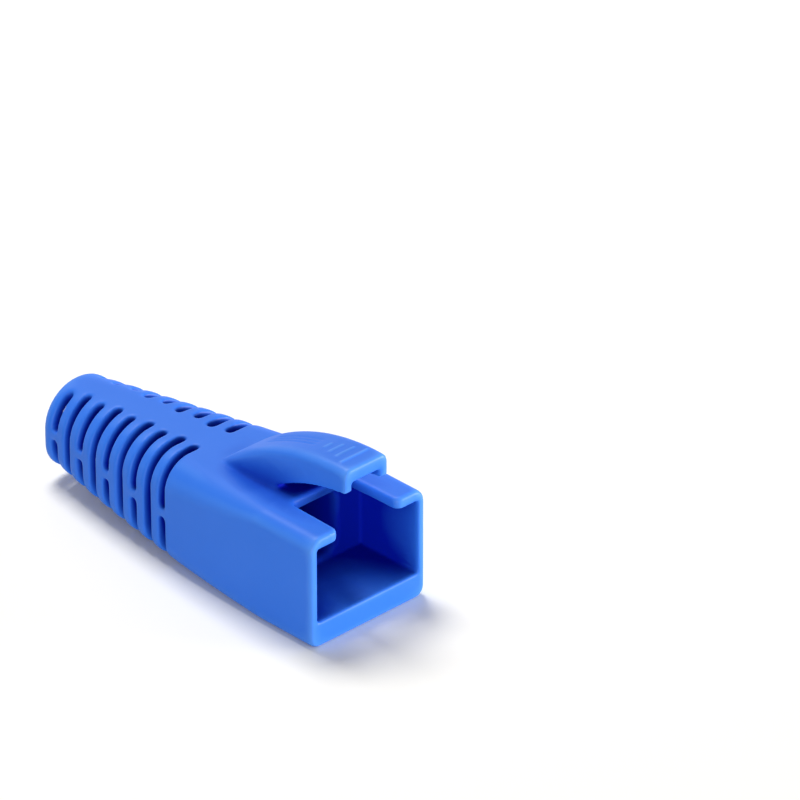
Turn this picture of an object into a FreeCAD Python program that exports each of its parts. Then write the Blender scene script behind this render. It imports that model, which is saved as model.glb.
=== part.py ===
import FreeCAD, Part
import math
import os
import Sketcher

# Snagless strain relief boot for an eight-way modular plug: one moulded piece of soft plastic.
# The plug's mouth faces -X and the cable leaves along +X. A flat base rests on Z = 0.
# The walls taper from the plug's box to a slotted, flexible tail with a plain round collar,
# and an arched tab springs from the top to guard the plug's latch.

SIZES = {
    # the box around the plug
    "total_length": 37.9,
    "socket_width": 12.0,
    "socket_height": 7.3,
    "socket_depth": 7.3,
    "side_wall": 0.8,
    "floor_wall": 2.5,
    "lip_wall": 1.1,
    "box_top_corner": 1.3,
    "box_base_corner": 1.0,
    "box_length": 7.0,
    "mouth_rounding": 0.35,
    "socket_rounding": 0.15,
    # the open slot for the latch, between the two lips
    "latch_slot_mouth": 6.9,
    "latch_slot_end": 6.6,
    "latch_slot_length": 6.2,
    "lip_rounding": 0.7,
    "latch_slot_rounding": 0.6,
    # the shoulder, where the slotted tail starts
    "shoulder_place": 19.0,
    "shoulder_width": 12.6,
    "shoulder_base": 0.18,
    "shoulder_top": 10.3,
    "shoulder_top_corner": 3.0,
    "shoulder_base_corner": 2.0,
    # the collar at the cable's end
    "collar_length": 1.25,
    "collar_size": 8.2,
    "collar_top_flat": 0.2,
    "collar_base_flat": 3.0,
    "collar_rounding": 0.6,
    "cable_height": 5.15,
    "cable_bore": 5.9,
    "bore_flat": 0.3,
    "bore_rounding": 0.25,
    # the passage from the plug's socket to the collar
    "passage_width": 6.5,
    "passage_height": 6.25,
    "passage_corner": 1.3,
    "passage_rim": 0.45,
    "passage_rounding": 0.4,
    # the slots in the tail: split ones with a bridge, and long ones between them
    "slot_width": 0.8,
    "first_slot": 19.8,
    "last_slot_gap": 1.62,
    "split_slot_count": 5,
    "long_slot_count": 4,
    "split_slot_strip": 3.5,
    "long_slot_strip": 2.8,
    "bridge_height": 0.9,
    # the arched tab over the latch
    "tab_width": 5.1,
    "tab_setback": 0.2,
    "tab_height": 16.05,
    "tab_crest": 1.2,
    "tab_root": 16.36,
    "tab_skin": 1.4,
    "tab_leg": 0.9,
    "tab_tip_depth": 2.25,
    "leg_crest": 1.0,
    "leg_root": 10.03,
    "tab_edge_rounding": 0.8,
    "tip_rounding": 0.25,
    "root_rounding": 0.2,
}

doc = FreeCAD.newDocument("StrainReliefBoot")
sheet = doc.addObject("Spreadsheet::Sheet", "Sizes")
for row, (name, number) in enumerate(SIZES.items(), start=1):
    sheet.set(f"A{row}", name)
    sheet.set(f"B{row}", str(number))
    sheet.setAlias(f"B{row}", name)
doc.recompute()

# Sizes that follow from the driving ones.
BOX_WIDTH = "(Sizes.socket_width + 2 * Sizes.side_wall)"
SOCKET_TOP = "(Sizes.floor_wall + Sizes.socket_height)"
BOX_HEIGHT = f"({SOCKET_TOP} + Sizes.lip_wall)"
COLLAR_START = "(Sizes.total_length - Sizes.collar_length)"
COLLAR_BASE = "(Sizes.cable_height - Sizes.collar_size / 2)"
COLLAR_TOP = "(Sizes.cable_height + Sizes.collar_size / 2)"
COLLAR_TOP_CORNER = "((Sizes.collar_size - Sizes.collar_top_flat) / 2)"
COLLAR_BASE_CORNER = "((Sizes.collar_size - Sizes.collar_base_flat) / 2)"
BORE_BASE = "(Sizes.cable_height - Sizes.cable_bore / 2)"
BORE_TOP = "(Sizes.cable_height + Sizes.cable_bore / 2)"
BORE_CORNER = "((Sizes.cable_bore - Sizes.bore_flat) / 2)"
PASSAGE_BASE = "(Sizes.floor_wall + Sizes.passage_rim)"
PASSAGE_TOP = f"({PASSAGE_BASE} + Sizes.passage_height)"
ROOT_LEVEL = f"({SOCKET_TOP} + Sizes.lip_wall / 2)"
SLOT_ROUND = "(Sizes.slot_width / 2)"
LAST_SLOT = "(Sizes.total_length - Sizes.last_slot_gap)"
SLOT_STEPS = "(Sizes.split_slot_count + Sizes.long_slot_count - 1)"
SLOT_PITCH = f"(({LAST_SLOT} - Sizes.first_slot) / {SLOT_STEPS})"
BRIDGE_BASE = "(Sizes.cable_height - Sizes.bridge_height / 2)"
BRIDGE_TOP = "(Sizes.cable_height + Sizes.bridge_height / 2)"

# The tab's arch tops out at the crest and comes down to its root in the top wall.
TAB_RUN = "(Sizes.tab_root - Sizes.tab_crest)"
TAB_RISE = f"(Sizes.tab_height - {ROOT_LEVEL})"
TAB_ARCH = f"(({TAB_RUN}^2 + {TAB_RISE}^2) / (2 * {TAB_RISE}))"
TAB_CENTRE = f"(Sizes.tab_height - {TAB_ARCH})"

# Each leg's lower arc runs from the tab's tip down to a root of its own.
LEG_TIP = "(Sizes.tab_height - Sizes.tab_tip_depth)"
LEG_TIP_RUN = "(Sizes.tab_setback + Sizes.leg_crest)"
LEG_ROOT_RUN = "(Sizes.leg_root + Sizes.leg_crest)"
LEG_CENTRE = (
    f"(({LEG_TIP_RUN}^2 + {LEG_TIP}^2 - {LEG_ROOT_RUN}^2 - {ROOT_LEVEL}^2)"
    f" / (2 * ({LEG_TIP} - {ROOT_LEVEL})))"
)
LEG_ARCH = f"(sqrt({LEG_TIP_RUN}^2 + ({LEG_TIP} - {LEG_CENTRE})^2))"

# A low tab leaves its root at a shallow angle, which limits the rounding there.
ROOT_ROUNDING = f"min(Sizes.root_rounding; 0.2 * ({LEG_TIP} - {BOX_HEIGHT}))"


def size(expression):
    """The number an expression of the sheet's sizes comes to."""
    return float(sheet.evalExpression(expression))


body = doc.addObject("PartDesign::Body", "Boot")
body.Label = "strain_relief_boot"
doc.recompute()


def plane(role):
    return next(item for item in body.Origin.OriginFeatures if item.Role == role)


def new_sketch(name, role, offset="0"):
    """A sketch on one of the body's origin planes, moved along its normal."""
    sketch = body.newObject("Sketcher::SketchObject", name)
    sketch.AttachmentSupport = [(plane(role), "")]
    sketch.MapMode = "FlatFace"
    sketch.setExpression("AttachmentOffset.Base.z", offset)
    return sketch


def point(across, up):
    return FreeCAD.Vector(across, up, 0)


def bind(sketch, constraint, name, expression):
    """Adds one dimension to a sketch and ties it to the sheet."""
    index = sketch.addConstraint(constraint)
    sketch.renameConstraint(index, name)
    sketch.setExpression(f"Constraints.{name}", expression)


def across(sketch, name, geometry, end, expression):
    """Fixes how far a point lies along the sketch's level axis."""
    place = Sketcher.Constraint("DistanceX", -1, 1, geometry, end, size(expression))
    bind(sketch, place, name, expression)


def upward(sketch, name, geometry, end, expression):
    """Fixes how far a point lies along the sketch's upright axis."""
    place = Sketcher.Constraint("DistanceY", -1, 1, geometry, end, size(expression))
    bind(sketch, place, name, expression)


def check_solved(sketch):
    doc.recompute()
    if sketch.solve() != 0:
        raise RuntimeError(f"{sketch.Name} has no solution")


def rounded_rectangle(sketch, width, base, top, top_corner, base_corner):
    """A closed outline with round corners, centred on the sketch's upright axis."""
    half = size(width) / 2
    low = size(base)
    high = size(top)
    wide = size(top_corner)
    tight = size(base_corner)
    sides = [
        (point(half, low + tight), point(half, high - wide)),
        (point(half - wide, high), point(wide - half, high)),
        (point(-half, high - wide), point(-half, low + tight)),
        (point(tight - half, low), point(half - tight, low)),
    ]
    corners = [
        (point(half - wide, high - wide), wide),
        (point(wide - half, high - wide), wide),
        (point(tight - half, low + tight), tight),
        (point(half - tight, low + tight), tight),
    ]
    for turn, (start, end) in enumerate(sides):
        sketch.addGeometry(Part.LineSegment(start, end))
        centre, radius = corners[turn]
        corner = Part.Circle(centre, FreeCAD.Vector(0, 0, 1), radius)
        angle = turn * math.pi / 2
        sketch.addGeometry(Part.ArcOfCircle(corner, angle, angle + math.pi / 2))
    for turn in range(4):
        line = 2 * turn
        following = (line + 2) % 8
        if turn % 2 == 0:
            sketch.addConstraint(Sketcher.Constraint("Vertical", line))
        sketch.addConstraint(Sketcher.Constraint("Tangent", line, 2, line + 1, 1))
        sketch.addConstraint(Sketcher.Constraint("Tangent", line + 1, 2, following, 1))
    sketch.addConstraint(Sketcher.Constraint("Equal", 1, 3))
    sketch.addConstraint(Sketcher.Constraint("Equal", 5, 7))
    sketch.addConstraint(Sketcher.Constraint("Symmetric", 2, 1, 2, 2, -2))
    sketch.addConstraint(Sketcher.Constraint("Horizontal", 6))
    bind(sketch, Sketcher.Constraint("Radius", 1, wide), "top_corner", top_corner)
    bind(sketch, Sketcher.Constraint("Radius", 5, tight), "base_corner", base_corner)
    bind(sketch, Sketcher.Constraint("DistanceX", 4, 1, 0, 1, 2 * half), "width", width)
    bind(sketch, Sketcher.Constraint("DistanceY", -1, 1, 6, 1, low), "base", base)
    bind(sketch, Sketcher.Constraint("DistanceY", -1, 1, 2, 1, high), "top", top)
    check_solved(sketch)


def section(name, place, width, base, top, top_corner, base_corner):
    """A rounded rectangle square to the cable, at its own distance from the mouth."""
    sketch = new_sketch(name, "YZ_Plane", place)
    rounded_rectangle(sketch, width, base, top, top_corner, base_corner)
    return sketch


def add(kind, name, profile, **settings):
    """A pad, pocket or loft of a profile. A text setting is an expression of the sizes."""
    feature = body.newObject(f"PartDesign::{kind}", name)
    feature.Profile = profile
    for setting, wanted in settings.items():
        if isinstance(wanted, str) and "Sizes." in wanted:
            feature.setExpression(setting, wanted)
        else:
            setattr(feature, setting, wanted)
    doc.recompute()
    return feature


def volume():
    return body.Shape.Volume


def require_cut(before, name):
    if volume() > before - 0.01:
        raise RuntimeError(f"{name} cuts nothing")


def middle(edge):
    return edge.valueAt((edge.FirstParameter + edge.LastParameter) / 2)


def same(first, second):
    return abs(first - second) < 0.001


def is_upright(edge):
    start, end = edge.Vertexes[0].Point, edge.Vertexes[-1].Point
    return same(start.x, end.x) and same(start.y, end.y) and not same(start.z, end.z)


def lies_at(edge, along):
    """Whether the whole edge lies square to the cable at one distance from the mouth."""
    box = edge.BoundBox
    return same(middle(edge).x, along) and box.XLength < 0.001


def off_axis(edge):
    """How far an edge's middle lies from the cable's axis."""
    place = middle(edge)
    return math.hypot(place.y, place.z - size("Sizes.cable_height"))


def round_edges(name, radius, chosen):
    """Rounds every edge of the body that the test picks."""
    edges = [
        f"Edge{number}" for number, edge in enumerate(body.Shape.Edges, start=1) if chosen(edge)
    ]
    if not edges:
        raise RuntimeError(f"{name} has no edge to round")
    base = body.Tip
    fillet = body.newObject("PartDesign::Fillet", name)
    fillet.Base = (base, edges)
    fillet.setExpression("Radius", radius)
    doc.recompute()


# ---- outside of the box and the tail ----

BOX_OUTLINE = (BOX_WIDTH, "0", BOX_HEIGHT, "Sizes.box_top_corner", "Sizes.box_base_corner")
COLLAR_OUTLINE = (
    "Sizes.collar_size",
    COLLAR_BASE,
    COLLAR_TOP,
    COLLAR_TOP_CORNER,
    COLLAR_BASE_CORNER,
)

mouth = section("MouthSection", "0", *BOX_OUTLINE)
add("Pad", "Box", mouth, Length="Sizes.box_length")

box_end = section("BoxEndSection", "Sizes.box_length", *BOX_OUTLINE)
shoulder = section(
    "ShoulderSection",
    "Sizes.shoulder_place",
    "Sizes.shoulder_width",
    "Sizes.shoulder_base",
    "Sizes.shoulder_top",
    "Sizes.shoulder_top_corner",
    "Sizes.shoulder_base_corner",
)
tail_end = section("TailEndSection", COLLAR_START, *COLLAR_OUTLINE)
add("AdditiveLoft", "Tail", box_end, Sections=[shoulder, tail_end])

collar = section("CollarSection", COLLAR_START, *COLLAR_OUTLINE)
add("Pad", "Collar", collar, Length="Sizes.collar_length")


# ---- inside: the plug's socket, the passage behind it and the cable's bore ----


def circle(sketch, height, diameter):
    """A circle centred on the sketch's upright axis."""
    centre = point(0, size(height))
    radius = size(diameter) / 2
    sketch.addGeometry(Part.Circle(centre, FreeCAD.Vector(0, 0, 1), radius))
    sketch.addConstraint(Sketcher.Constraint("PointOnObject", 0, 3, -2))
    bind(sketch, Sketcher.Constraint("DistanceY", -1, 1, 0, 3, centre.y), "height", height)
    bind(sketch, Sketcher.Constraint("Diameter", 0, 2 * radius), "diameter", diameter)
    check_solved(sketch)


def rectangle(sketch, left, right, base, top):
    """A closed four-cornered outline with sides along the sketch's axes."""
    corners = [
        point(size(left), size(base)),
        point(size(right), size(base)),
        point(size(right), size(top)),
        point(size(left), size(top)),
    ]
    for turn in range(4):
        sketch.addGeometry(Part.LineSegment(corners[turn], corners[(turn + 1) % 4]))
    for turn in range(4):
        upright = "Horizontal" if turn % 2 == 0 else "Vertical"
        sketch.addConstraint(Sketcher.Constraint(upright, turn))
        sketch.addConstraint(Sketcher.Constraint("Coincident", turn, 2, (turn + 1) % 4, 1))
    bind(sketch, Sketcher.Constraint("DistanceX", -1, 1, 0, 1, corners[0].x), "left", left)
    bind(sketch, Sketcher.Constraint("DistanceX", -1, 1, 1, 1, corners[1].x), "right", right)
    bind(sketch, Sketcher.Constraint("DistanceY", -1, 1, 0, 1, corners[0].y), "base", base)
    bind(sketch, Sketcher.Constraint("DistanceY", -1, 1, 2, 1, corners[2].y), "top", top)
    check_solved(sketch)


solid = volume()
socket = new_sketch("SocketSection", "YZ_Plane")
rectangle(
    socket, "-Sizes.socket_width / 2", "Sizes.socket_width / 2", "Sizes.floor_wall", SOCKET_TOP
)
add("Pocket", "Socket", socket, Length="Sizes.socket_depth", Reversed=True)
require_cut(solid, "Socket")

passage = section(
    "PassageSection",
    "Sizes.socket_depth",
    "Sizes.passage_width",
    PASSAGE_BASE,
    PASSAGE_TOP,
    "Sizes.passage_corner",
    "Sizes.passage_corner",
)
passage_end = section(
    "PassageEndSection",
    COLLAR_START,
    "Sizes.cable_bore",
    BORE_BASE,
    BORE_TOP,
    BORE_CORNER,
    BORE_CORNER,
)
solid = volume()
add("SubtractiveLoft", "Passage", passage, Sections=[passage_end])
require_cut(solid, "Passage")

bore = new_sketch("BoreSection", "YZ_Plane", COLLAR_START)
circle(bore, "Sizes.cable_height", "Sizes.cable_bore")
solid = volume()
add("Pocket", "Bore", bore, Type="ThroughAll", Reversed=True)
require_cut(solid, "Bore")

passage_start = size("Sizes.socket_depth")
socket_side = size("Sizes.socket_width") / 2
socket_base = size("Sizes.floor_wall")
socket_top = size(SOCKET_TOP)
round_edges(
    "PassageEdge",
    "Sizes.passage_rounding",
    lambda edge: lies_at(edge, passage_start)
    and not same(abs(middle(edge).y), socket_side)
    and not same(middle(edge).z, socket_base)
    and not same(middle(edge).z, socket_top),
)
far_end = size("Sizes.total_length")
bore_reach = size("Sizes.cable_bore") / 2
round_edges(
    "CollarEdge",
    "Sizes.collar_rounding",
    lambda edge: lies_at(edge, far_end) and off_axis(edge) > bore_reach + 0.001,
)
round_edges(
    "BoreEdge",
    "Sizes.bore_rounding",
    lambda edge: lies_at(edge, far_end) and same(off_axis(edge), bore_reach),
)


# ---- the open slot over the plug's latch ----


latch_slot = new_sketch("LatchSlotPlan", "XY_Plane", SOCKET_TOP)
slot_mouth = size("Sizes.latch_slot_mouth") / 2
slot_end = size("Sizes.latch_slot_end") / 2
slot_length = size("Sizes.latch_slot_length")
slot_corners = [
    point(0, slot_mouth),
    point(0, -slot_mouth),
    point(slot_length, -slot_end),
    point(slot_length, slot_end),
]
for turn in range(4):
    latch_slot.addGeometry(Part.LineSegment(slot_corners[turn], slot_corners[(turn + 1) % 4]))
for turn in range(4):
    latch_slot.addConstraint(Sketcher.Constraint("Coincident", turn, 2, (turn + 1) % 4, 1))
latch_slot.addConstraint(Sketcher.Constraint("PointOnObject", 0, 1, -2))
latch_slot.addConstraint(Sketcher.Constraint("Symmetric", 0, 1, 0, 2, -1))
latch_slot.addConstraint(Sketcher.Constraint("Symmetric", 2, 1, 2, 2, -1))
bind(
    latch_slot,
    Sketcher.Constraint("DistanceY", 0, 2, 0, 1, 2 * slot_mouth),
    "mouth",
    "Sizes.latch_slot_mouth",
)
bind(
    latch_slot,
    Sketcher.Constraint("DistanceY", 2, 1, 2, 2, 2 * slot_end),
    "end",
    "Sizes.latch_slot_end",
)
bind(
    latch_slot,
    Sketcher.Constraint("DistanceX", 0, 2, 2, 1, slot_length),
    "length",
    "Sizes.latch_slot_length",
)
check_solved(latch_slot)
solid = volume()
add("Pocket", "LatchSlot", latch_slot, Type="ThroughAll", Reversed=True)
require_cut(solid, "LatchSlot")

above_socket = size(ROOT_LEVEL)
lip_round = size("Sizes.lip_rounding")
round_edges(
    "LipCorners",
    "Sizes.lip_rounding",
    lambda edge: is_upright(edge)
    and same(middle(edge).x, 0)
    and same(abs(middle(edge).y), slot_mouth)
    and same(middle(edge).z, above_socket),
)
round_edges(
    "LatchSlotCorners",
    "Sizes.latch_slot_rounding",
    lambda edge: is_upright(edge)
    and same(middle(edge).x, slot_length)
    and same(abs(middle(edge).y), slot_end),
)


def rims_socket(edge):
    place = middle(edge)
    beside = same(abs(place.y), socket_side)
    return beside or same(place.z, socket_base) or same(place.z, socket_top)


lip_start = slot_mouth + lip_round
round_edges(
    "MouthEdges",
    "Sizes.mouth_rounding",
    lambda edge: lies_at(edge, 0)
    and not rims_socket(edge)
    and not same(abs(middle(edge).y), lip_start),
)
round_edges(
    "SocketEdges", "Sizes.socket_rounding", lambda edge: lies_at(edge, 0) and rims_socket(edge)
)


# ---- the arched tab that guards the latch ----


def arc_over(sketch, centre, radius, left, right):
    """An arc with its centre below it, drawn from its right end back to its left end."""
    start = math.acos((right - centre.x) / radius)
    end = math.acos((left - centre.x) / radius)
    circle_over = Part.Circle(centre, FreeCAD.Vector(0, 0, 1), radius)
    sketch.addGeometry(Part.ArcOfCircle(circle_over, start, end))


def height_at(centre, radius, along):
    return centre.y + math.sqrt(radius**2 - (along - centre.x) ** 2)


def reach_at(centre, radius, level):
    return centre.x + math.sqrt(radius**2 - (level - centre.y) ** 2)


def arched_profile(sketch, low_centre, low_radius):
    """Side view of the tab between its outer arch and a lower arc, down into the top wall."""
    tip = size("Sizes.tab_setback")
    root_level = size(ROOT_LEVEL)
    high_radius = size(TAB_ARCH)
    high_centre = point(size("Sizes.tab_crest"), size(TAB_CENTRE))
    high_tip = point(tip, height_at(high_centre, high_radius, tip))
    high_root = point(reach_at(high_centre, high_radius, root_level), root_level)
    low_tip = point(tip, height_at(low_centre, low_radius, tip))
    low_root = point(reach_at(low_centre, low_radius, root_level), root_level)
    arc_over(sketch, high_centre, high_radius, tip, high_root.x)
    arc_over(sketch, low_centre, low_radius, tip, low_root.x)
    sketch.addGeometry(Part.LineSegment(high_tip, low_tip))
    sketch.addGeometry(Part.LineSegment(low_root, high_root))
    sketch.addConstraint(Sketcher.Constraint("Coincident", 0, 2, 2, 1))
    sketch.addConstraint(Sketcher.Constraint("Coincident", 1, 2, 2, 2))
    sketch.addConstraint(Sketcher.Constraint("Coincident", 1, 1, 3, 1))
    sketch.addConstraint(Sketcher.Constraint("Coincident", 0, 1, 3, 2))
    sketch.addConstraint(Sketcher.Constraint("Vertical", 2))
    sketch.addConstraint(Sketcher.Constraint("Horizontal", 3))
    across(sketch, "crest", 0, 3, "Sizes.tab_crest")
    upward(sketch, "arch_centre", 0, 3, TAB_CENTRE)
    across(sketch, "tip", 2, 1, "Sizes.tab_setback")
    upward(sketch, "root_level", 3, 1, ROOT_LEVEL)
    bind(sketch, Sketcher.Constraint("Radius", 0, high_radius), "arch", TAB_ARCH)


skin = new_sketch("TabSkinProfile", "XZ_Plane")
skin_arch = f"({TAB_ARCH} - Sizes.tab_skin)"
skin_radius = size(skin_arch)
skin_centre = point(size("Sizes.tab_crest"), size(TAB_CENTRE))
arched_profile(skin, skin_centre, skin_radius)
skin.addConstraint(Sketcher.Constraint("Coincident", 1, 3, 0, 3))
bind(skin, Sketcher.Constraint("Radius", 1, skin_radius), "underside", skin_arch)
check_solved(skin)
add("Pad", "TabSkin", skin, Length="Sizes.tab_width", SideType="Symmetric")

# A leg runs down each side of the tab, deeper towards the root.
leg = new_sketch("TabLegProfile", "XZ_Plane", "-Sizes.tab_width / 2")
leg_radius = size(LEG_ARCH)
arched_profile(leg, point(-size("Sizes.leg_crest"), size(LEG_CENTRE)), leg_radius)
across(leg, "leg_crest", 1, 3, "-Sizes.leg_crest")
upward(leg, "leg_tip", 2, 2, LEG_TIP)
bind(leg, Sketcher.Constraint("Radius", 1, leg_radius), "underside", LEG_ARCH)
check_solved(leg)
leg_pad = add("Pad", "TabLeg", leg, Length="Sizes.tab_leg")
other_leg = body.newObject("PartDesign::Mirrored", "OtherTabLeg")
other_leg.Originals = [leg_pad]
other_leg.MirrorPlane = (plane("XZ_Plane"), [""])
body.Tip = other_leg
doc.recompute()

tab_side = size("Sizes.tab_width") / 2
tab_tip = size("Sizes.tab_setback")


def lies_on_arch(edge):
    place = middle(edge)
    centre = point(size("Sizes.tab_crest"), size(TAB_CENTRE))
    return same(math.hypot(place.x - centre.x, place.z - centre.y), size(TAB_ARCH))


round_edges(
    "TabEdges",
    "Sizes.tab_edge_rounding",
    lambda edge: same(abs(middle(edge).y), tab_side) and lies_on_arch(edge),
)
round_edges("TabTip", "Sizes.tip_rounding", lambda edge: lies_at(edge, tab_tip))
root_level = size(ROOT_LEVEL)
box_top = size(BOX_HEIGHT)
round_edges(
    "TabRoot",
    ROOT_ROUNDING,
    lambda edge: same(abs(middle(edge).y), tab_side)
    and root_level < middle(edge).z < box_top
    and middle(edge).x > slot_length,
)


# ---- the slots in the tail ----


def blade(sketch, side, place, strip):
    """One slot in plan: a round end beside the middle strip, open past the side wall."""
    first = sketch.GeometryCount
    radius = size("Sizes.slot_width") / 2
    along = size(place)
    end = side * (size(strip) / 2 + radius)
    far = side * size(BOX_WIDTH)
    before, after = along - radius, along + radius
    round_end = Part.Circle(point(along, end), FreeCAD.Vector(0, 0, 1), radius)
    if side > 0:
        end_arc = Part.ArcOfCircle(round_end, math.pi, 2 * math.pi)
        leading, trailing = before, after
    else:
        end_arc = Part.ArcOfCircle(round_end, 0, math.pi)
        leading, trailing = after, before
    sketch.addGeometry(end_arc)
    sketch.addGeometry(Part.LineSegment(point(trailing, end), point(trailing, far)))
    sketch.addGeometry(Part.LineSegment(point(trailing, far), point(leading, far)))
    sketch.addGeometry(Part.LineSegment(point(leading, far), point(leading, end)))
    sketch.addConstraint(Sketcher.Constraint("Tangent", first, 2, first + 1, 1))
    sketch.addConstraint(Sketcher.Constraint("Coincident", first + 1, 2, first + 2, 1))
    sketch.addConstraint(Sketcher.Constraint("Coincident", first + 2, 2, first + 3, 1))
    sketch.addConstraint(Sketcher.Constraint("Tangent", first + 3, 2, first, 1))
    sketch.addConstraint(Sketcher.Constraint("Vertical", first + 1))
    sketch.addConstraint(Sketcher.Constraint("Horizontal", first + 2))
    sketch.addConstraint(Sketcher.Constraint("Vertical", first + 3))
    word = "left" if side > 0 else "right"
    sign = "" if side > 0 else "-"
    bind(sketch, Sketcher.Constraint("Radius", first, radius), f"{word}_round", SLOT_ROUND)
    bind(
        sketch,
        Sketcher.Constraint("DistanceX", -1, 1, first, 3, along),
        f"{word}_place",
        place,
    )
    bind(
        sketch,
        Sketcher.Constraint("DistanceY", -1, 1, first, 3, end),
        f"{word}_end",
        f"{sign}({strip} / 2 + {SLOT_ROUND})",
    )
    bind(
        sketch,
        Sketcher.Constraint("DistanceY", -1, 1, first + 1, 2, far),
        f"{word}_far",
        f"{sign}{BOX_WIDTH}",
    )


def slot_plan(name, level, place, strip):
    sketch = new_sketch(name, "XY_Plane", level)
    blade(sketch, 1, place, strip)
    blade(sketch, -1, place, strip)
    check_solved(sketch)
    return sketch


def repeat(name, originals, count):
    """Copies of a slot along the tail, every second pitch."""
    pattern = body.newObject("PartDesign::LinearPattern", name)
    pattern.Originals = originals
    pattern.Direction = (plane("X_Axis"), [""])
    pattern.Mode = "Spacing"
    pattern.setExpression("Offset", f"2 * {SLOT_PITCH}")
    pattern.setExpression("Occurrences", count)
    body.Tip = pattern
    doc.recompute()


lower_plan = slot_plan("LowerSlotPlan", "0", "Sizes.first_slot", "Sizes.split_slot_strip")
solid = volume()
lower = add("Pocket", "LowerSlot", lower_plan, Length=BRIDGE_BASE, Reversed=True)
require_cut(solid, "LowerSlot")
upper_plan = slot_plan("UpperSlotPlan", BRIDGE_TOP, "Sizes.first_slot", "Sizes.split_slot_strip")
solid = volume()
upper = add("Pocket", "UpperSlot", upper_plan, Length=BOX_HEIGHT, Reversed=True)
require_cut(solid, "UpperSlot")
repeat("SplitSlots", [lower, upper], "Sizes.split_slot_count")

long_plan = slot_plan(
    "LongSlotPlan", "0", f"Sizes.first_slot + {SLOT_PITCH}", "Sizes.long_slot_strip"
)
solid = volume()
long_slot = add("Pocket", "LongSlot", long_plan, Length=BOX_HEIGHT, Reversed=True)
require_cut(solid, "LongSlot")
repeat("LongSlots", [long_slot], "Sizes.long_slot_count")


# ---- place, check and write ----

body.setExpression("Placement.Base.x", "-Sizes.total_length / 2")
doc.recompute()
for item in doc.Objects:
    if "Invalid" in item.State or "Error" in item.State:
        raise RuntimeError(f"{item.Name} failed: {item.State}")
if body.Shape.isNull() or not body.Shape.isValid() or len(body.Shape.Solids) != 1:
    raise RuntimeError("the boot is not one sound solid")
os.makedirs("parts", exist_ok=True)
body.Shape.exportStep(f"parts/{body.Label}.step")
print(body.Label, "volume", round(body.Shape.Volume, 1), "mm3")
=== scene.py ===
import math

import bmesh
import bpy
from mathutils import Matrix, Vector


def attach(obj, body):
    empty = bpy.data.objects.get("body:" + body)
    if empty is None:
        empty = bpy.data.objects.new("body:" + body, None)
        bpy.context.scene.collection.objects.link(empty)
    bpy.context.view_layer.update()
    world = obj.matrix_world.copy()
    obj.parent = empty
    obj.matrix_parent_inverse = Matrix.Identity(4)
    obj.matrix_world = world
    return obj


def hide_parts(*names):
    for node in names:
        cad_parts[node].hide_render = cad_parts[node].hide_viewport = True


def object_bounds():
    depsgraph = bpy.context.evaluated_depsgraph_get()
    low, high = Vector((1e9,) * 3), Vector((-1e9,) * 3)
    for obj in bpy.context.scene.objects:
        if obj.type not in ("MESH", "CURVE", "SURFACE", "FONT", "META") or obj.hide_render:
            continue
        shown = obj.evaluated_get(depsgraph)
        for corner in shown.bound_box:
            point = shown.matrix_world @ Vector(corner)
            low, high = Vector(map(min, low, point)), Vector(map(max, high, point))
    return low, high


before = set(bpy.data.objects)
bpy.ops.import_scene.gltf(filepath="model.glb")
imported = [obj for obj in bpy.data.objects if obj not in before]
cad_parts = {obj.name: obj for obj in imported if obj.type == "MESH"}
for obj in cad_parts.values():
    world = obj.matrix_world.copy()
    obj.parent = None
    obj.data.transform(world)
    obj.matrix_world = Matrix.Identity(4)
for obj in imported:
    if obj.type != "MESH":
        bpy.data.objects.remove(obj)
cad_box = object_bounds()


# ---- The boot ----
# One moulding of soft blue vinyl, injected in one shot round a core: the box that takes the plug,
# the arched tab over its latch and the slotted tail. The mould's edges are broken, so every rim
# is soft. Fine grooves run along the tab's crown, and low grip bars cross its tip.

MM = 0.001


class Signal:
    """A socket of a node tree. Sums, differences and products of signals add Math nodes."""

    def __init__(self, tree, socket=None):
        self.tree = tree
        self.socket = socket

    def node(self, kind, settings, inputs, output=0):
        """Adds a node with its settings, feeds its sockets, and gives one of its outputs."""
        made = self.tree.nodes.new(kind)
        for name, value in settings.items():
            if name == "stops":
                while len(made.color_ramp.elements) < len(value):
                    made.color_ramp.elements.new(1.0)
                for element, (place, colour) in zip(made.color_ramp.elements, value):
                    element.position = place
                    element.color = colour
            else:
                setattr(made, name, value)
        for name, value in inputs.items():
            if isinstance(value, Signal):
                self.tree.links.new(value.socket, made.inputs[name])
            else:
                made.inputs[name].default_value = value
        return Signal(self.tree, made.outputs[output]) if made.outputs else None

    def maths(self, operation, *values):
        """Adds a Math node that works on numbers or signals."""
        return self.node("ShaderNodeMath", {"operation": operation}, dict(enumerate(values)))

    def __add__(self, other):
        return self.maths("ADD", self, other)

    def __radd__(self, other):
        return self.maths("ADD", other, self)

    def __sub__(self, other):
        return self.maths("SUBTRACT", self, other)

    def __rsub__(self, other):
        return self.maths("SUBTRACT", other, self)

    def __mul__(self, other):
        return self.maths("MULTIPLY", self, other)

    def __rmul__(self, other):
        return self.maths("MULTIPLY", other, self)

    def __abs__(self):
        return self.maths("ABSOLUTE", self)


def eased(signal, low, high):
    """Rises from 0 at the low value to 1 at the high one, gently at both ends."""
    return signal.node(
        "ShaderNodeMapRange",
        {"interpolation_type": "SMOOTHSTEP"},
        {"Value": signal, "From Min": low, "From Max": high},
    )


# A Mix node's own sockets for colours: the share, the two colours, and its output.
MIX_SHARE = 0
MIX_FIRST = 6
MIX_SECOND = 7
MIX_OUT = 2


def mixed_colours(first, second, share, blend="MIX"):
    """The first colour with a share of the second one mixed or multiplied into it."""
    settings = {"data_type": "RGBA", "blend_type": blend}
    inputs = {MIX_SHARE: share, MIX_FIRST: first, MIX_SECOND: second}
    return first.node("ShaderNodeMix", settings, inputs, MIX_OUT)


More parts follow.
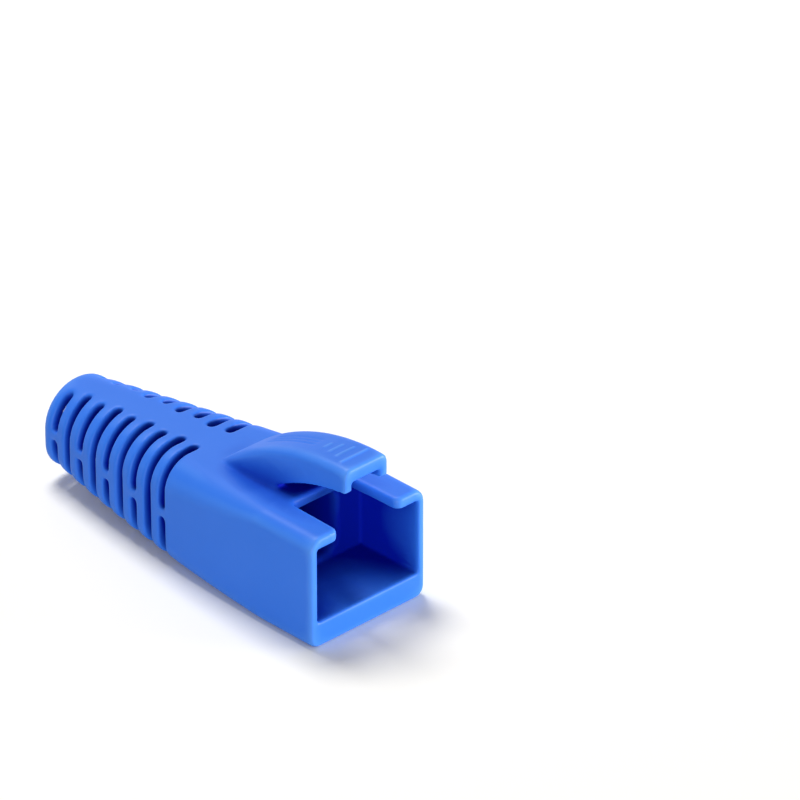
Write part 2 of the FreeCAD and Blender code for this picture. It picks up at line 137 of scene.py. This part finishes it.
def new_material(name):
    """An empty node material and a signal to start its expressions from."""
    material = bpy.data.materials.new(name)
    material.use_nodes = True
    material.node_tree.nodes.clear()
    return material, Signal(material.node_tree)


# Painted shade deepens the vinyl where its faces close in; a painted highlight pales its open
# edges.
# The steps between these looks are shares of free room, from 0 in a closed gap to 1 in the open.
VINYL_PAINTED_SHADE = (0.001, 0.010, 0.38, 1)
VINYL_BLUE = (0.028, 0.178, 0.79, 1)
VINYL_PAINTED_HIGHLIGHT = (0.11, 0.34, 0.92, 1)
CLOSED_IN = 0.22
SHINE_STARTS = 0.32
OPEN_FACE = 0.46
# From here the open edges pale towards a painted highlight.
EDGE_STARTS = 0.54
EDGE_FULL = 0.71

# The dye is uneven in soft patches, and the grain that the mould's sparked faces leave is far
# finer. A scale is the number of patches or grains to a metre.
VINYL_MOTTLE = (0.72, 0.84, 0.90, 1)
MOTTLE_SHARE = 0.5
MOTTLE_SCALE = 220
MOTTLE_DETAIL = 3
GRAIN_SCALE = 9000
GRAIN_DETAIL = 2
GRAIN_STRENGTH = 0.12
GRAIN_HEIGHT = 0.02 * MM

# The grip bars take this share of the painted highlight.
BAR_PAINTED_HIGHLIGHT = 0.9
VINYL_IOR = 1.5
FACE_SHINE = 0.25
FACE_ROUGHNESS = 0.42
MOTTLE_ROUGHNESS = 0.1
WORN_POLISH = 0.08
# Closed-in faces use a shaded copy of the vinyl with almost no reflection: painted shade.
RECESS_SHINE = 0.03
RECESS_ROUGHNESS = 0.6


def soft_vinyl():
    """Soft blue vinyl, finely grained and unevenly dyed, with painted shade in recesses and
    painted highlights on edges and bars.
    """
    material, start = new_material("soft_blue_vinyl")
    place = start.node("ShaderNodeTexCoord", {}, {}, "Object")
    mottle = start.node(
        "ShaderNodeTexNoise", {}, {"Vector": place, "Scale": MOTTLE_SCALE, "Detail": MOTTLE_DETAIL}
    )
    grain = start.node(
        "ShaderNodeTexNoise", {}, {"Vector": place, "Scale": GRAIN_SCALE, "Detail": GRAIN_DETAIL}
    )
    room = start.node("ShaderNodeAttribute", {"attribute_name": "room"}, {}, "Fac")
    grip = start.node("ShaderNodeAttribute", {"attribute_name": "grip"}, {}, "Fac")
    worn = eased(room, EDGE_STARTS, EDGE_FULL)
    # The tone runs from painted shade in closed gaps, through the plain blue, to a painted
    # highlight on open edges.
    tones = [
        (CLOSED_IN, VINYL_PAINTED_SHADE),
        (OPEN_FACE, VINYL_BLUE),
        (EDGE_STARTS, VINYL_BLUE),
        (EDGE_FULL, VINYL_PAINTED_HIGHLIGHT),
    ]
    tone = start.node("ShaderNodeValToRGB", {"stops": tones}, {"Fac": room}, "Color")
    # Painted highlight on the grip bars.
    tone = mixed_colours(tone, VINYL_PAINTED_HIGHLIGHT, BAR_PAINTED_HIGHLIGHT * grip)
    colour = mixed_colours(tone, VINYL_MOTTLE, MOTTLE_SHARE * mottle, "MULTIPLY")
    grained = start.node(
        "ShaderNodeBump",
        {},
        {"Strength": GRAIN_STRENGTH, "Distance": GRAIN_HEIGHT, "Height": grain},
    )
    faces = start.node(
        "ShaderNodeBsdfPrincipled",
        {},
        {
            "Base Color": colour,
            "Roughness": FACE_ROUGHNESS + MOTTLE_ROUGHNESS * mottle - WORN_POLISH * worn,
            "Normal": grained,
            "IOR": VINYL_IOR,
            "Specular IOR Level": FACE_SHINE,
        },
    )
    # The shaded copy for closed-in faces: painted shade, its reflection nearly gone.
    shaded_recesses = start.node(
        "ShaderNodeBsdfPrincipled",
        {},
        {
            "Base Color": colour,
            "Roughness": RECESS_ROUGHNESS,
            "IOR": VINYL_IOR,
            "Specular IOR Level": RECESS_SHINE,
        },
    )
    # The lit faces give way to the shaded copy as the free room closes in.
    shine = eased(room, SHINE_STARTS, OPEN_FACE)
    shader = start.node("ShaderNodeMixShader", {}, {0: shine, 1: shaded_recesses, 2: faces})
    start.node("ShaderNodeOutputMaterial", {}, {"Surface": shader})
    return material


vinyl = soft_vinyl()


def moulding_tree(name, sizes):
    """A geometry tree that takes a moulding, its vinyl and named sizes, and gives a moulding."""
    tree = bpy.data.node_groups.new(name, "GeometryNodeTree")
    sockets = {"Moulding": "Geometry", "Vinyl": "Material", **sizes}
    for title, kind in sockets.items():
        tree.interface.new_socket(title, in_out="INPUT", socket_type=f"NodeSocket{kind}")
    tree.interface.new_socket("Moulding", in_out="OUTPUT", socket_type="NodeSocketGeometry")
    given = tree.nodes.new("NodeGroupInput")
    return Signal(tree), [Signal(tree, socket) for socket in given.outputs[: len(sockets)]]


def close_tree(start, shape, skin):
    """Ends a moulding's tree: one plain mesh, in its vinyl."""
    whole = start.node("GeometryNodeRealizeInstances", {}, {"Geometry": shape})
    dressed = start.node("GeometryNodeSetMaterial", {}, {"Geometry": whole, "Material": skin})
    out = start.tree.nodes.new("NodeGroupOutput")
    start.tree.links.new(dressed.socket, out.inputs[0])
    return start.tree


def run_tree(piece, tree, values):
    """Puts a tree on a piece as a modifier, with its inputs set by their identifiers."""
    modifier = piece.modifiers.new(tree.name, "NODES")
    modifier.node_group = tree
    for item in tree.interface.items_tree:
        if item.in_out == "INPUT" and item.name in values:
            modifier[item.identifier] = values[item.name]


# Starts, ends and bar places are from the mouth's rim, and groove places from the middle line.
# The marks begin between two heights on the tab, and only on faces that slope little enough.
EDGE_PASSES = 2
SLOT_PASSES = 5
TAIL_START = 18.0 * MM
TAIL_FADE = 1.0 * MM
BAR_PLACES = [1.8 * MM, 2.9 * MM, 4.0 * MM, 5.0 * MM]
BAR_REACHES = [1.75 * MM, 1.25 * MM, 1.0 * MM, 0.6 * MM]
BAR_WIDTH = 0.4 * MM
BAR_HEIGHT = 0.11 * MM
GROOVE_PLACES = [-0.65 * MM, -0.1 * MM, 0.45 * MM]
GROOVE_WIDTH = 0.45 * MM
GROOVE_DEPTH = 0.11 * MM
GROOVE_START = 5.8 * MM
GROOVE_END = 12.6 * MM
GROOVE_FADE = 1.0 * MM
TAB_FOOT = 11.5 * MM
TAB_CLEAR = 12.5 * MM
SLOPE_BARE = 0.3
SLOPE_MARKED = 0.6


def broken_edges_tree(mouth):
    """Rounds the edges, more round the tail's slots, and marks the tab's grooves and bars."""
    sizes = {
        "Edge Passes": "Int",
        "Slot Passes": "Int",
        "Bar Height": "Float",
        "Groove Depth": "Float",
    }
    start, given = moulding_tree("broken_edges", sizes)
    shape, skin, edge_passes, slot_passes, bar_height, groove_depth = given
    place = start.node("GeometryNodeInputPosition", {}, {})
    outward = start.node("GeometryNodeInputNormal", {}, {})
    along = start.node("ShaderNodeSeparateXYZ", {}, {"Vector": place}, "X") - mouth
    aside = start.node("ShaderNodeSeparateXYZ", {}, {"Vector": place}, "Y")
    above = start.node("ShaderNodeSeparateXYZ", {}, {"Vector": place}, "Z")
    facing_up = start.node("ShaderNodeSeparateXYZ", {}, {"Vector": outward}, "Z")
    in_tail = eased(along, TAIL_START, TAIL_START + TAIL_FADE)
    for passes, share in ((edge_passes, 1.0), (slot_passes, in_tail)):
        rounded = start.node(
            "GeometryNodeBlurAttribute",
            {"data_type": "FLOAT_VECTOR"},
            {"Value": place, "Iterations": passes, "Weight": share},
        )
        shape = start.node(
            "GeometryNodeSetPosition", {}, {"Geometry": shape, "Position": rounded}
        )

    def ridge(across, middle, width):
        """1 along a line, easing to 0 half a width from it."""
        return 1 - eased(abs(across - middle), 0, width / 2)

    bars = 0
    for middle, reach in zip(BAR_PLACES, BAR_REACHES):
        within = 1 - eased(abs(aside), reach - BAR_WIDTH / 2, reach)
        bars = bars + ridge(along, middle, BAR_WIDTH) * within
    grooves = 0
    for middle in GROOVE_PLACES:
        grooves = grooves + ridge(aside, middle, GROOVE_WIDTH)
    crown = eased(along, GROOVE_START, GROOVE_START + GROOVE_FADE)
    crown = crown - eased(along, GROOVE_END - GROOVE_FADE, GROOVE_END)
    relief = bar_height * bars - groove_depth * (crown * grooves)
    on_tab = eased(above, TAB_FOOT, TAB_CLEAR) * eased(facing_up, SLOPE_BARE, SLOPE_MARKED)
    lift = start.node(
        "ShaderNodeVectorMath", {"operation": "SCALE"}, {0: outward, "Scale": relief * on_tab}
    )
    marked = start.node("GeometryNodeSetPosition", {}, {"Geometry": shape, "Offset": lift})
    # The bars' mask is kept for the painted highlight laid on them.
    noted = start.node(
        "GeometryNodeStoreNamedAttribute",
        {"data_type": "FLOAT", "domain": "POINT"},
        {"Geometry": marked, "Name": "grip", "Value": bars * on_tab},
    )
    return close_tree(start, noted, skin)


DIRECTIONS = 96
GOLDEN_TURN = math.pi * (3 - math.sqrt(5))
ROOM_REACH = 7.5 * MM
ROOM_LIFT = 0.04 * MM
ROOM_PASSES = 12


def room_tree():
    """Stores the share of the room round each point that is free, by rays spread all round it."""
    start, given = moulding_tree("room", {"Reach": "Float", "Lift": "Float"})
    shape, skin, reach, lift = given
    place = start.node("GeometryNodeInputPosition", {}, {})
    outward = start.node("GeometryNodeInputNormal", {}, {})
    step = start.node("ShaderNodeVectorMath", {"operation": "SCALE"}, {0: outward, "Scale": lift})
    eye = start.node("ShaderNodeVectorMath", {"operation": "ADD"}, {0: place, 1: step})

    # The rays are spread evenly over a ball, from pole to pole, each a golden turn from the last.
    blocked = 0
    for number in range(DIRECTIONS):
        height = 1 - 2 * (number + 0.5) / DIRECTIONS
        ring = math.sqrt(1 - height * height)
        turn = GOLDEN_TURN * number
        blocked = blocked + start.node(
            "GeometryNodeRaycast",
            {},
            {
                "Target Geometry": shape,
                "Source Position": eye,
                "Ray Direction": (ring * math.cos(turn), ring * math.sin(turn), height),
                "Ray Length": reach,
            },
            "Is Hit",
        )
    even = start.node(
        "GeometryNodeBlurAttribute",
        {"data_type": "FLOAT"},
        {"Value": 1 - blocked * (1 / DIRECTIONS), "Iterations": ROOM_PASSES},
    )
    stored = start.node(
        "GeometryNodeStoreNamedAttribute",
        {"data_type": "FLOAT", "domain": "POINT"},
        {"Geometry": shape, "Name": "room", "Value": even},
    )
    return close_tree(start, stored, skin)


BOOT_NODE = "strain_relief_boot"
MERGE_GAP = 0.0005 * MM
SKIN_STEP = 0.14 * MM
KEPT_FACES = 0.48

# The solid's faces are loose, so a copy is merged. It gets an even skin, its broken edges and its
# marks, then its free room is measured, and last the skin is thinned.
boot_mesh = bpy.data.meshes.new("boot_moulding")
merged = bmesh.new()
merged.from_mesh(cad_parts[BOOT_NODE].data)
bmesh.ops.remove_doubles(merged, verts=merged.verts, dist=MERGE_GAP)
merged.to_mesh(boot_mesh)
merged.free()
boot = bpy.data.objects.new("boot_moulding", boot_mesh)
bpy.context.scene.collection.objects.link(boot)

even_skin = boot.modifiers.new("even_skin", "REMESH")
even_skin.mode = "VOXEL"
even_skin.voxel_size = SKIN_STEP
run_tree(
    boot,
    broken_edges_tree(cad_box[0][0]),
    {
        "Vinyl": vinyl,
        "Edge Passes": EDGE_PASSES,
        "Slot Passes": SLOT_PASSES,
        "Bar Height": BAR_HEIGHT,
        "Groove Depth": GROOVE_DEPTH,
    },
)
run_tree(boot, room_tree(), {"Vinyl": vinyl, "Reach": ROOM_REACH, "Lift": ROOM_LIFT})
thinned = boot.modifiers.new("thinned", "DECIMATE")
thinned.ratio = KEPT_FACES

moulded = boot.evaluated_get(bpy.context.evaluated_depsgraph_get())
boot_skin = bpy.data.meshes.new_from_object(moulded)
boot.modifiers.clear()
boot.data = boot_skin
for face in boot_skin.polygons:
    face.use_smooth = True

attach(boot, "root")
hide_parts(BOOT_NODE)


# ---- The floor and the light ----
# White paper under a dim white dome. A soft box high behind the tail throws the shadow forward,
# and two strips light the mouth and the near side, so low that the floor hardly gets any of it.

PAPER_WHITE = {"Red": 1.0, "Green": 0.985, "Blue": 0.94}
PAPER_HALF = 3000 * MM
PAPER_BOUNCE = 0.7
PAPER_GLOW = 0.03


def sweep_paper():
    """White paper, a shade warm. What looks straight at it sees it at full white."""
    material, start = new_material("sweep_paper")
    camera_ray = start.node("ShaderNodeLightPath", {}, {}, "Is Camera Ray")
    share = PAPER_BOUNCE + (1 - PAPER_BOUNCE) * camera_ray
    tones = {name: amount * share for name, amount in PAPER_WHITE.items()}
    tone = start.node("ShaderNodeCombineColor", {}, tones)
    diffuse = start.node("ShaderNodeBsdfDiffuse", {}, {"Color": tone})
    glow = start.node("ShaderNodeEmission", {}, {"Strength": PAPER_GLOW * camera_ray})
    paper = start.node("ShaderNodeAddShader", {}, {0: diffuse, 1: glow})
    start.node("ShaderNodeOutputMaterial", {}, {"Surface": paper})
    return material


floor_mesh = bpy.data.meshes.new("floor")
floor_mesh.from_pydata(
    [
        (-PAPER_HALF, -PAPER_HALF, 0),
        (PAPER_HALF, -PAPER_HALF, 0),
        (PAPER_HALF, PAPER_HALF, 0),
        (-PAPER_HALF, PAPER_HALF, 0),
    ],
    [],
    [(0, 1, 2, 3)],
)
floor_mesh.materials.append(sweep_paper())
floor = bpy.data.objects.new("floor", floor_mesh)
bpy.context.scene.collection.objects.link(floor)

DOME_WHITE = (1, 1, 1, 1)
DOME_STRENGTH = 0.31

world = bpy.data.worlds.new("dome")
bpy.context.scene.world = world
world.use_nodes = True
world.node_tree.nodes.clear()
sky = Signal(world.node_tree)
seen = sky.node("ShaderNodeLightPath", {}, {}, "Is Camera Ray")
mirrored = sky.node("ShaderNodeLightPath", {}, {}, "Is Glossy Ray")
dome = sky.node(
    "ShaderNodeBackground",
    {},
    {
        "Color": DOME_WHITE,
        "Strength": DOME_STRENGTH + (1 - DOME_STRENGTH) * (seen + mirrored),
    },
)
sky.node("ShaderNodeOutputWorld", {}, {"Surface": dome})


def stand_off(name, data, turn, rise, distance, aim):
    """Stands a lamp or camera off from a point and faces it there.

    Its turn is from the tail's direction and its rise from the floor, in degrees.
    """
    turn = math.radians(turn)
    rise = math.radians(rise)
    level = math.cos(rise)
    away = Vector((math.cos(turn) * level, math.sin(turn) * level, math.sin(rise)))
    stood = bpy.data.objects.new(name, data)
    stood.location = aim + away * distance
    stood.rotation_euler = (-away).to_track_quat("-Z", "Y").to_euler()
    bpy.context.scene.collection.objects.link(stood)
    return stood


LAMP_DISTANCE = 600 * MM
BOOT_MIDDLE = Vector((0, 0, 0))


def softbox(name, turn, rise, width, depth, watts):
    """A flat rectangular lamp that faces the boot."""
    lamp = bpy.data.lights.new(name, "AREA")
    lamp.shape = "RECTANGLE"
    lamp.size = width
    lamp.size_y = depth
    lamp.energy = watts
    stand_off(name, lamp, turn, rise, LAMP_DISTANCE, BOOT_MIDDLE)


softbox("back_high", turn=344, rise=66, width=240 * MM, depth=240 * MM, watts=2.75)
softbox("mouth_strip", turn=225, rise=3, width=300 * MM, depth=50 * MM, watts=4.3)
softbox("near_strip", turn=135, rise=4, width=300 * MM, depth=60 * MM, watts=1.72)


# ---- The camera ----
# A long lens at arm's length looks down on the mouth's near corner. It aims past the boot's far
# side, so the boot lies low and left in the view. The sensor and the lens are in millimetres.

SIGHT_TURN = 136.0
SIGHT_RISE = 29.92
SIGHT_LENGTH = 645.2 * MM
SIGHT_AIM = Vector((7.03, -28.86, 0)) * MM
SENSOR_WIDTH = 36
LENS = 317.4
FARTHEST_SEEN = 20

camera_data = bpy.data.cameras.new("camera")
camera_data.sensor_width = SENSOR_WIDTH
camera_data.lens = LENS
camera_data.clip_end = FARTHEST_SEEN
camera = stand_off("camera", camera_data, SIGHT_TURN, SIGHT_RISE, SIGHT_LENGTH, SIGHT_AIM)
bpy.context.scene.camera = camera
bpy.context.scene.view_settings.view_transform = "Standard"
